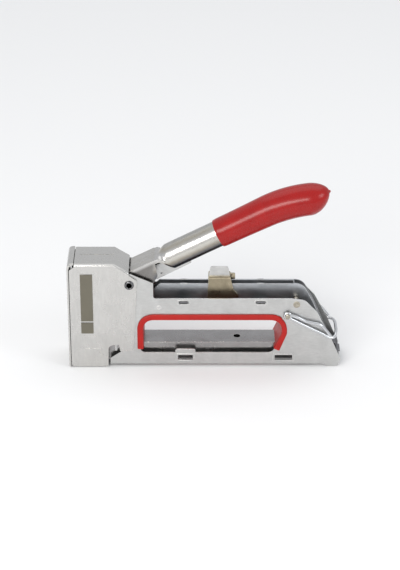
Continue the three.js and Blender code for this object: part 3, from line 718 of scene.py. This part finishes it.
class GUN_OT_head(PieceOperator, bpy.types.Operator):
    """Folded head jacket, nose plate with its relief hole, and the plain label panel"""

    bl_idname = "staple_gun.head"
    bl_label = "Head"

    def execute(self, context):
        edge = size_mm("edge_round")
        top_front = JACKET_FRONT + 3.4
        outline = rounded([
            (JACKET_FRONT, 0.6, 2.5), (-66.5, 0.6, 1.5), (-66.2, 16.4, 3), (-59, 18.2, 1), (-58.4, 12.6),
            (-49, 12.6, 2.5), (-46.2, 66.6, 1.5), (SLOPE_END, SLOPE_END_TOP - 2), (SLOPE_END, SLOPE_END_TOP),
            (SLOPE_START, HEAD_TOP), (top_front, HEAD_TOP), (top_front, HEAD_TOP - 2),
            (JACKET_FRONT, HEAD_TOP - 4.4),
        ])
        jacket = folded(
            "head_jacket", outline, JACKET_HALF,
            lambda f: f.normal.z > 0.5 and f.calc_center_median().z > SLOPE_END_TOP - 0.4
            and f.calc_center_median().x > top_front - 0.1,
            holes=[circle(PIN_X, PIN_Z, PIN_HOLE)], radius=size_mm("fold_radius"), edge=edge,
        )
        seam = block(-85, SLOPE_START - 0.5, HEAD_TOP - 0.3, HEAD_TOP + 1)
        cut(jacket, plate("seam", seam, 1.2, 1.6, edge=0.02))
        panel = block(-82.6, -71.6, 4.4, 14.8, 0.8)
        for side in (-1, 1):
            reach = span(side, JACKET_HALF - 0.5, JACKET_HALF + 0.14)
            gather(jacket, plate("panel", panel, *reach, edge=0.13))
        settle(jacket, "head_jacket_sheet", ["head_jacket"], "frame", "chrome_sheet")
        x = NOSE_LOW.x
        nose = plate("nose_plate", rounded([
            (x, 0.6, 0.4), (x + 1.2, 0.6, 0.4), (x + 1.2, HEAD_TOP - 3.4, 1.6),
            (x + 4.6, HEAD_TOP - 1.2, 0.4), (x + 4.6, HEAD_TOP, 0.4), (x, HEAD_TOP, 3.6),
        ]), NOSE_LOW.y, NOSE_HIGH.y, edge=edge)
        relief = block(x + 1.6, x + 6, HEAD_TOP - 4.4, HEAD_TOP + 1)
        cut(nose, plate("relief", relief, -NOSE_HIGH.y - 1, -NOSE_HIGH.y + 2.2, edge=0.05))
        settle(nose, "nose_plate_sheet", ["nose_plate"], "frame", "chrome_sheet")
        low, high = box_mm("label_plate")
        foot = low.z + 8.2
        label = plate("label", block(low.x, high.x, foot + 1.2, high.z, 0.4), low.y, high.y, edge=0.08)
        square = plate("label_foot", block(low.x, high.x, low.z, foot, 0.4), low.y, high.y, edge=0.08)
        gather(label, square)
        settle(label, "label_panel", ["label_plate"], "frame", "label_paint")
        return {"FINISHED"}


class GUN_OT_top_rail(PieceOperator, bpy.types.Operator):
    """Upright channel rail that curves down at the tail"""

    bl_idname = "staple_gun.top_rail"
    bl_label = "Top Rail"

    def execute(self, context):
        half = RAIL_HIGH.y
        floor, top = 43.5, RAIL_HIGH.z
        closed_from = 60.5
        outline = rounded([
            (-35, floor), (64, floor, 2), (79.5, 20), (84.6, 20, 1), (73.8, 45.4, 12), (66.6, top, 9),
            (-31, top), (-35, top - 4),
        ], 12)
        rail = folded(
            "top_rail", outline, half,
            lambda f: f.calc_center_median().z < floor + 0.2
            or (f.calc_center_median().x > closed_from and f.normal.x + f.normal.z > 0.3),
            holes=[circle(RIVET_X, RIVET_Z, 2.0, 24)], radius=1.3, splits=[closed_from],
        )
        for x in TAB_SLOTS:
            ear = rounded([
                (x - 2.6, top - 1), (x + 2.6, top - 1), (x + 2.2, top + 0.35, 0.3),
                (x - 2.2, top + 0.35, 0.3),
            ])
            for side in (-1, 1):
                gather(rail, plate("ear", ear, *span(side, half - 0.9, half - 0.1), edge=0.12))
        settle(rail, "top_rail_sheet", ["top_rail"], "frame", "rail_steel")
        return {"FINISHED"}


class GUN_OT_finger_guard(PieceOperator, bpy.types.Operator):
    """Red plastic guard that lines the finger opening"""

    bl_idname = "staple_gun.finger_guard"
    bl_label = "Finger Guard"

    def execute(self, context):
        path = rounded([
            (-42, 14.2), (-42, 36.2, 7.5), (52.4, 36.2, 8.5), (52.4, 26.2, 4), (47.2, 14.6),
        ], 14)
        # Across the band: inner face with rounded corners, then the lip, then the groove.
        wall, lip, groove = 2.1, 4.4, SHELL_OUTER + 0.2
        section = []
        for side in (-1, 1):
            run = [
                (0.0, 0.86), (0.12, 0.93), (0.5, 0.985), (1.1, 1.0), (lip - 1.3, 1.0), (lip - 0.45, 0.985),
                (lip - 0.1, 0.965), (lip, 0.945),
            ]
            points = [(depth, side * share * GUARD_HALF) for depth, share in run]
            points += [(lip, side * groove), (wall, side * groove)]
            section += points if side < 0 else points[::-1]
        one_side = len(section) // 2
        section = [*section[:one_side], (wall, 0.0), *section[one_side:], (0.0, 0.0)]
        count = len(path)
        rear_leg_from = 50

        def outward(i):
            before, after = path[max(0, i - 1)], path[min(count - 1, i + 1)]
            run = (after - before).normalized()
            return Vector((-run.y, run.x))

        def place(u, v):
            i = round(v * (count - 1))
            k = round(u * len(section)) % len(section)
            depth, y = section[k]
            share = 0.86 if path[i].x > rear_leg_from and depth > wall else 1.0
            spot = path[i] + outward(i) * depth * share
            return (spot.x, y, spot.y)

        guard = wrapped("finger_guard", len(section), count - 1, place)
        pick(guard, "edges", lambda e: e.is_boundary)
        bpy.ops.mesh.edge_face_add()
        clean(guard)
        settle(guard, "finger_guard_moulding", ["finger_guard"], "frame", "red_plastic", smooth=40)
        return {"FINISHED"}


class GUN_OT_handle_arm(PieceOperator, bpy.types.Operator):
    """Plated handle arm: folded neck that turns into a rolled tube with an open seam"""

    bl_idname = "staple_gun.handle_arm"
    bl_label = "Handle Arm"

    def execute(self, context):
        half = 10.3
        neck = folded(
            "neck", rounded([
                (-50.9, 71.7), (-34.6, 80.0, 0.4), (-32.2, 68.4, 2), (-35, 62.9, 1), (-45.5, 58, 1),
                (-55, 57.5, 4), (-58, 63.5, 4), (-53.8, 68.6, 1),
            ]), half,
            lambda f: f.normal.z > 0.7 and f.calc_center_median().z > 73,
            sheet=TUBE_WALL, radius=1.4, holes=[circle(PIN_X, PIN_Z, PIN_HOLE)], edge=0.15,
        )
        seam = math.asin(TUBE_SEAM / TUBE_R)
        first = 1.5 * math.pi - seam
        sweep = 2 * math.pi - 2 * seam
        neck_start, curl_start, neck_end, tube_end = -33.0, -22.5, -14.5, 84.0
        rows, neck_rows = 66, 20
        side_depth, neck_half = 2.6, half - 0.35

        def flat_section(u, along):
            """Across the neck: a short side, the flat top, a short side."""
            height = 6.38 - 0.017 * (along + 42.4)
            length = 2 * neck_half + 2 * side_depth
            walk = u * length
            if walk < side_depth:
                return -neck_half, height - side_depth + walk
            if walk > length - side_depth:
                return neck_half, height - side_depth + (length - walk)
            return -neck_half + (walk - side_depth), height

        def place(u, v):
            row = v * rows
            angle = first - sweep * u
            y, height = TUBE_R * math.cos(angle), TUBE_R * math.sin(angle)
            if row <= neck_rows:
                t = row / neck_rows
                along = neck_start + (neck_end - neck_start) * t
                turn = max(0.0, (along - curl_start) / (neck_end - curl_start))
                share = turn * turn * (3 - 2 * turn)
                flat_y, flat_h = flat_section(u, along)
                y = flat_y + (y - flat_y) * share
                height = flat_h + (height - flat_h) * share
            else:
                along = neck_end + (tube_end - neck_end) * (row - neck_rows) / (rows - neck_rows)
            return on_handle(along, y, height)

        tube = wrapped("tube", 48, rows, place)
        modify(tube, "SOLIDIFY", thickness=TUBE_WALL, offset=side_of(tube), use_even_offset=True)
        soften(tube, 0.15)
        gather(neck, tube)
        settle(neck, "handle_arm_sheet", ["handle_arm"], "handle", "handle_chrome", smooth=30)
        return {"FINISHED"}


def side_of(obj):
    """-1 or 1, so that a sheet round the handle's axis thickens towards the axis."""
    face = max(obj.data.polygons, key=lambda f: f.area)
    x, z, slope = handle_point(40)
    out = face.center - Vector((x, 0, z))
    along = Vector((math.cos(slope), 0, math.sin(slope)))
    out -= along * out.dot(along)
    return -1 if face.normal.dot(out) > 0 else 1


class GUN_OT_grip(PieceOperator, bpy.types.Operator):
    """Dipped red grip with the drip nub at its end"""

    bl_idname = "staple_gun.grip"
    bl_label = "Grip"

    def execute(self, context):
        belly = size_mm("grip_radius") - GRIP_MOUTH_R
        length = GRIP_END - GRIP_START
        rim = 0.03

        def place(u, v):
            share = 1 - (1 - v) ** 1.5
            along = GRIP_START + length * share
            cap = min(1.0, max(0.0, 1 - (GRIP_END - along) / GRIP_CAP))
            closed = math.sqrt(max(0.0, 1 - cap * cap))
            r = (GRIP_MOUTH_R + belly * math.sin(math.pi / 2 * min(1, share / 0.75)) ** 2) * closed
            if v < rim:
                r -= 0.35 * (1 - v / rim) ** 2
            slot = 0.0
            if along < GRIP_SLOT_END:
                end = min(1.0, (GRIP_SLOT_END - along) / 5.0)
                slot = math.asin(TUBE_SEAM / r) * math.sqrt(1 - (1 - end) ** 2)
            angle = -math.pi / 2 + slot + (2 * math.pi - 2 * slot) * u
            lift = GRIP_TIP_LIFT * (1 - closed)
            return on_handle(along, r * math.cos(angle), r * math.sin(angle) + lift)

        grip = wrapped("grip", 72, 90, place)
        modify(grip, "SOLIDIFY", thickness=0.9, offset=side_of(grip), use_even_offset=True)
        soften(grip, 0.2)
        nub_x, nub_z, _ = handle_point(GRIP_END - 0.9)
        nub_z += GRIP_TIP_LIFT + 0.6
        tilt = math.radians(25)

        def nub_place(u, v):
            lift = -2.4 + 4.2 * v
            r = 1.5 * math.sqrt(max(0.0, 1 - (2 * v - 1) ** 2)) * (1.25 - 0.5 * v)
            turn = 2 * math.pi * u
            across, up = r * math.cos(turn), r * math.sin(turn)
            return (
                nub_x + lift * math.cos(tilt) - up * math.sin(tilt),
                across,
                nub_z + lift * math.sin(tilt) + up * math.cos(tilt),
            )

        gather(grip, wrapped("nub", 24, 16, nub_place))
        settle(grip, "grip_skin", ["grip"], "handle", "red_vinyl", smooth=45)
        return {"FINISHED"}


class GUN_OT_lift_lever(PieceOperator, bpy.types.Operator):
    """Flat lever under the handle that lifts the plunger"""

    bl_idname = "staple_gun.lift_lever"
    bl_label = "Lift Lever"

    def execute(self, context):
        hook_x, hook_z, hook_r = PIN_X - 32, PIN_Z - 12, 2.4
        outline = rounded([
            (hook_x + 1, hook_z - hook_r, 1.2), (-66, 54.5, 4), (-55, 56.5, 3), (-46, 56.8, 3),
            (-32.4, 61.6, 1), (-9, 74.2, 1), (-12.4, 81, 1), (-35, 71.6, 3), (-46, 70, 2), (-56, 69.6, 4),
            (hook_x + 5, hook_z + hook_r, 1), (hook_x - 1.6, hook_z + hook_r, 1.5),
            (hook_x - 2.4, hook_z - 1, 1.5),
        ])
        holes = [circle(PIN_X, PIN_Z, PIN_HOLE), circle(-29.8, 66.2, 0.7, 16)]
        lever = plate("lift_lever", outline, -1.5, 1.5, holes)
        settle(lever, "lift_lever_plate", ["lift_lever"], "handle", "zinc_sheet")
        return {"FINISHED"}


class GUN_OT_power_slider(PieceOperator, bpy.types.Operator):
    """Yellow zinc power slider with its thumb tab; the fulcrum pad under it is made with the inner pieces"""

    bl_idname = "staple_gun.power_slider"
    bl_label = "Power Slider"

    def execute(self, context):
        top = 64.8
        saddle = folded(
            "power_slider", rounded([
                (1.6, 49, 0.5), (22.8, 49, 0.5), (22.8, 51.6, 2), (19.6, 55, 2), (17.2, top), (2.4, top),
            ]), SLIDER_HIGH.y,
            lambda f: f.normal.z > 0.9 and f.calc_center_median().z > top - 0.3,
            radius=1.1, edge=0.15,
        )
        tab = plate("thumb_tab", rounded([
            (2.6, top - 0.6), (17, top - 0.6), (15.8, SLIDER_HIGH.z, 2.2), (3.6, SLIDER_HIGH.z, 2.2),
        ]), -3.2, -2, edge=0.25)
        stem = plate("stem", block(5, 14.6, 50.9, top - 0.6), -2.2, 2.2)
        lug = rounded([(16, 60), (20.6, 60, 0.8), (20.6, top - 0.5, 0.8), (16, top - 0.5)])
        gather(saddle, stem, plate("lug", lug, 1.5, 3.2))
        first_tab_face = len(saddle.data.polygons)
        gather(saddle, tab)
        settle(saddle, "power_slider_sheet", ["power_slider"], "slider", "gold_zinc")
        saddle.data.materials.append(finish_of("zinc_sheet"))
        for face in saddle.data.polygons[first_tab_face:]:
            face.material_index = 1
        return {"FINISHED"}


class GUN_OT_magazine(PieceOperator, bpy.types.Operator):
    """Plated magazine channel with its round hole"""

    bl_idname = "staple_gun.magazine"
    bl_label = "Magazine Channel"

    def execute(self, context):
        low, high = box_mm("magazine_channel")
        channel = folded(
            "magazine_channel",
            rounded([(low.x, low.z), (high.x, low.z), (high.x, high.z, 2), (low.x, high.z)]), high.y,
            lambda f: f.normal.z > 0.5 and f.calc_center_median().z > high.z - 3,
            radius=size_mm("fold_radius"),
        )
        bpy.ops.object.select_all(action="DESELECT")
        bpy.ops.mesh.primitive_cylinder_add(vertices=40, radius=2.4, depth=6, location=(22.1, 0, high.z))
        cut(channel, bpy.context.object)
        settle(channel, "magazine_channel_sheet", ["magazine_channel"], "frame", "channel_chrome")
        return {"FINISHED"}


class GUN_OT_bail(PieceOperator, bpy.types.Operator):
    """Wire bail with its two eyes and kinked upper legs"""

    bl_idname = "staple_gun.bail"
    bl_label = "Wire Bail"

    def execute(self, context):
        radius = size_mm("wire_radius")
        y, eye_radius = 15.0, 1.95
        lower = [(EYE_X + 1.4, EYE_Z - 1.8), (70, 31.8), (80, 26.6), (85.7, 23.5)]
        left = [(x, -y, z) for x, z in lower]
        right = [(x, y, z) for x, z in lower]
        crossing = [
            (88.4, -13.4, 23.2), (89.9, -9, 24.0), (90.4, 0, 24.4), (89.9, 9, 24.0), (88.4, 13.4, 23.2),
        ]
        pieces = [wire("wire_bail", [*left, *crossing, *right[::-1]], radius)]
        upper = [
            (EYE_X + 1.6, EYE_Z + 1.0), (62.5, 39.4), (69.3, 36), (73, 35), (78.6, 33.4), (82, 30),
            (86.0, 24.6),
        ]
        for side in (-1, 1):
            pieces.append(wire("upper_leg", [(x, side * y, z) for x, z in upper], radius))
            eye = [(x, side * y, z) for x, z in circle(EYE_X, EYE_Z, eye_radius, 12)]
            pieces.append(wire("eye", eye, radius * 0.95, cyclic=True))
        gather(*pieces)
        settle(pieces[0], "wire_bail_wire", ["wire_bail"], "bail", "bail_wire", smooth=60)
        return {"FINISHED"}


class GUN_OT_fasteners(PieceOperator, bpy.types.Operator):
    """Hollow handle pin, domed rear rivet and the two bail pins"""

    bl_idname = "staple_gun.fasteners"
    bl_label = "Pins and Rivet"

    def execute(self, context):
        end = box_mm("handle_pivot_pin")[1].y
        face = end - 1.2
        head = [(2.6, 0.0), (2.6, face), (3.2, face + 0.05), (3.2, face + 0.55), (2.95, end - 0.3),
                (2.5, end - 0.06), (2.1, end), (1.85, end - 0.16), (1.72, end - 0.5), (1.68, 5.0), (0.0, 5.0)]
        halves = [turned("pin_half", head, PIN_X, PIN_Z, side) for side in (-1, 1)]
        gather(*halves)
        settle(halves[0], "handle_pivot_pin_hollow", ["handle_pivot_pin"], "frame", "pin_steel",
               smooth=40, finish="pivot_steel")
        top = box_mm("rear_rivet")[1].y
        dome = [(1.6, 0.0), (1.6, top - 0.45), (2.4, top - 0.42), (2.4, top - 0.2), (2.0, top - 0.04),
                (1.5, top), (1.1, top - 0.08), (0.8, top - 0.3), (0.0, top - 0.34)]
        halves = [turned("rivet_half", dome, RIVET_X, RIVET_Z, side, 40) for side in (-1, 1)]
        gather(*halves)
        settle(halves[0], "rear_rivet_turned", ["rear_rivet"], "frame", "pin_steel", smooth=40)
        tip = -box_mm("bail_pin_left")[0].y
        stud = [(0.0, 10.6), (2.0, 10.6), (2.0, 11.9), (0.9, 11.9), (0.9, tip - 0.55), (1.8, tip - 0.5),
                (1.8, tip - 0.3), (1.5, tip - 0.1), (0.9, tip), (0.0, tip)]
        for side, node in ((-1, "bail_pin_left"), (1, "bail_pin_right")):
            pin = turned("stud", stud, EYE_X, EYE_Z, side, 32)
            settle(pin, node + "_turned", [node], "frame", "pin_steel", smooth=40)
        return {"FINISHED"}


# Body and finish: the frame nodes inside the gun.
INNER_PIECES = {
    ("frame", "dark_steel"): (
        "nose_guide", "front_rail_spacer", "rear_rail_spacer", "bumper_shelf", "front_channel_bracket",
        "rear_channel_bracket",
    ),
    ("striker", "dark_steel"): ("plunger",),
    ("striker", "spring_steel"): ("driver_blade",),
    ("frame", "black_rubber"): ("plunger_bumper",),
    ("frame", "spring_steel"): ("main_spring_long_leaf", "main_spring_short_leaf"),
    ("slider", "dark_steel"): ("fulcrum_pad",),
    ("loader", "dark_steel"): ("loader_rail", "loader_latch"),
    ("loader", "spring_steel"): ("pusher_rod",),
    ("pusher", "dark_steel"): ("staple_pusher",),
    ("frame", "staple_wire"): ("staple_stick",),
}


def own_copy(node):
    """A copy of a frame node in millimetres, with its corners merged and its edges softened."""
    source = bpy.data.objects[node]
    obj = source.copy()
    obj.data = source.data.copy()
    obj.parent = None
    obj.matrix_world = source.matrix_world.copy()
    for key in list(obj.keys()):
        del obj[key]
    bpy.context.collection.objects.link(obj)
    only(obj)
    bpy.ops.object.transform_apply()
    obj.scale = (1 / MM,) * 3
    bpy.ops.object.transform_apply()
    clean(obj, 0.001, flat=0.5)
    return soften(obj, 0.18, 40)


class GUN_OT_inner_pieces(PieceOperator, bpy.types.Operator):
    """Pieces inside the body, from their frame shapes with softened edges"""

    bl_idname = "staple_gun.inner_pieces"
    bl_label = "Inner Pieces"

    def execute(self, context):
        for (body, slot), nodes in INNER_PIECES.items():
            for node in nodes:
                settle(own_copy(node), node + "_piece", [node], body, slot)
        return {"FINISHED"}


class GUN_OT_springs(PieceOperator, bpy.types.Operator):
    """Handle return spring round the pin and the long pusher spring on its rod"""

    bl_idname = "staple_gun.springs"
    bl_label = "Coil Springs"

    def execute(self, context):
        def coil(radius, turns, start, end, per_turn=10):
            count = turns * per_turn
            return [(radius * math.cos(2 * math.pi * k / per_turn), start + (end - start) * k / count,
                     radius * math.sin(2 * math.pi * k / per_turn)) for k in range(count + 1)]

        low, high = box_mm("handle_return_spring")
        turns = coil(4.1, 3, low.y + 0.6, high.y - 0.5)
        spring = wire("handle_spring", [(PIN_X + x, y, PIN_Z + z) for x, y, z in turns], 0.55)
        settle(spring, "handle_return_spring_coil", ["handle_return_spring"], "frame", "spring_steel", 60)
        low, high = box_mm("pusher_spring")
        middle = (low.z + high.z) / 2
        turns = coil(1.9, 30, low.x + 0.4, high.x - 0.4, 8)
        spring = wire("pusher_spring", [(x, y, middle + z) for y, x, z in turns], 0.33)
        settle(spring, "pusher_spring_coil", ["pusher_spring"], "loader", "spring_steel", 60)
        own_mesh(spring)
        return {"FINISHED"}


class GUN_OT_stage(PieceOperator, bpy.types.Operator):
    """Pale floor, soft lights and the camera"""

    bl_idname = "staple_gun.stage"
    bl_label = "Stage"

    def execute(self, context):
        scene = context.scene
        scene.view_settings.view_transform = "Standard"
        bpy.ops.object.select_all(action="DESELECT")
        bpy.ops.mesh.primitive_plane_add(size=scene.gun_sizes.floor_size)
        floor = context.object
        floor.name = "floor"
        material, _, shader, _ = new_material("pale_floor")
        shader["Base Color"].default_value = (0.86, 0.86, 0.86, 1)
        shader["Roughness"].default_value = 0.9
        floor.data.materials.append(material)

        world = bpy.data.worlds.new("studio")
        world.use_nodes = True
        background = next(n for n in world.node_tree.nodes if n.type == "BACKGROUND")
        background.inputs["Color"].default_value = (0.96, 0.975, 1.0, 1)
        background.inputs["Strength"].default_value = 0.72
        scene.world = world

        aim = Vector((0, 0, 0.05))

        def softbox(name, place, size, power, colour=(1, 1, 1)):
            data = bpy.data.lights.new(name, "AREA")
            data.shape = "RECTANGLE"
            data.size, data.size_y = size
            data.energy = power
            data.color = colour
            lamp = bpy.data.objects.new(name, data)
            lamp.location = place
            lamp.rotation_euler = (aim - Vector(place)).to_track_quat("-Z", "Y").to_euler()
            scene.collection.objects.link(lamp)

        softbox("key", (-0.45, -1.05, 0.66), (1.0, 0.35), 9.0, (1, 0.98, 0.95))
        softbox("fill", (1.0, -0.6, 0.7), (0.5, 0.5), 3.0, (0.94, 0.97, 1))
        softbox("top", (0.0, 0.5, 1.5), (2.0, 1.2), 6.0)

        camera_data = bpy.data.cameras.new("camera")
        camera_data.sensor_width = 36
        camera_data.lens = 126.3158
        camera_data.clip_start = 0.01
        camera = bpy.data.objects.new("camera", camera_data)
        tilt, away = math.radians(27.19), 1.3685
        centre_x, centre_z = -0.00344, 0.0563
        camera.location = (centre_x, -away * math.cos(tilt), centre_z + away * math.sin(tilt))
        camera.rotation_euler = (math.pi / 2 - tilt, 0, 0)
        scene.collection.objects.link(camera)
        scene.camera = camera
        return {"FINISHED"}


PIECES = (
    GUN_OT_side_shells, GUN_OT_head, GUN_OT_top_rail, GUN_OT_finger_guard, GUN_OT_handle_arm, GUN_OT_grip,
    GUN_OT_lift_lever, GUN_OT_power_slider, GUN_OT_magazine, GUN_OT_bail, GUN_OT_fasteners,
    GUN_OT_inner_pieces, GUN_OT_springs, GUN_OT_stage,
)


class GUN_PT_panel(bpy.types.Panel):
    bl_idname = "GUN_PT_panel"
    bl_label = "Staple Gun"
    bl_space_type = "VIEW_3D"
    bl_region_type = "UI"
    bl_category = "Staple Gun"

    def draw(self, context):
        layout = self.layout
        for settings in (context.scene.gun_sizes, context.scene.gun_colours):
            box = layout.box()
            for name in settings.__annotations__:
                box.prop(settings, name)
        column = layout.column()
        for piece in PIECES:
            column.operator(piece.bl_idname)


CLASSES = (GunSizes, GunColours, *PIECES, GUN_PT_panel)


def register():
    for cls in CLASSES:
        bpy.utils.register_class(cls)
    bpy.types.Scene.gun_sizes = bpy.props.PointerProperty(type=GunSizes)
    bpy.types.Scene.gun_colours = bpy.props.PointerProperty(type=GunColours)


def unregister():
    del bpy.types.Scene.gun_colours
    del bpy.types.Scene.gun_sizes
    for cls in reversed(CLASSES):
        bpy.utils.unregister_class(cls)


def main():
    register()
    for piece in PIECES:
        area, name = piece.bl_idname.split(".")
        getattr(getattr(bpy.ops, area), name)()


if __name__ == "__main__":
    main()
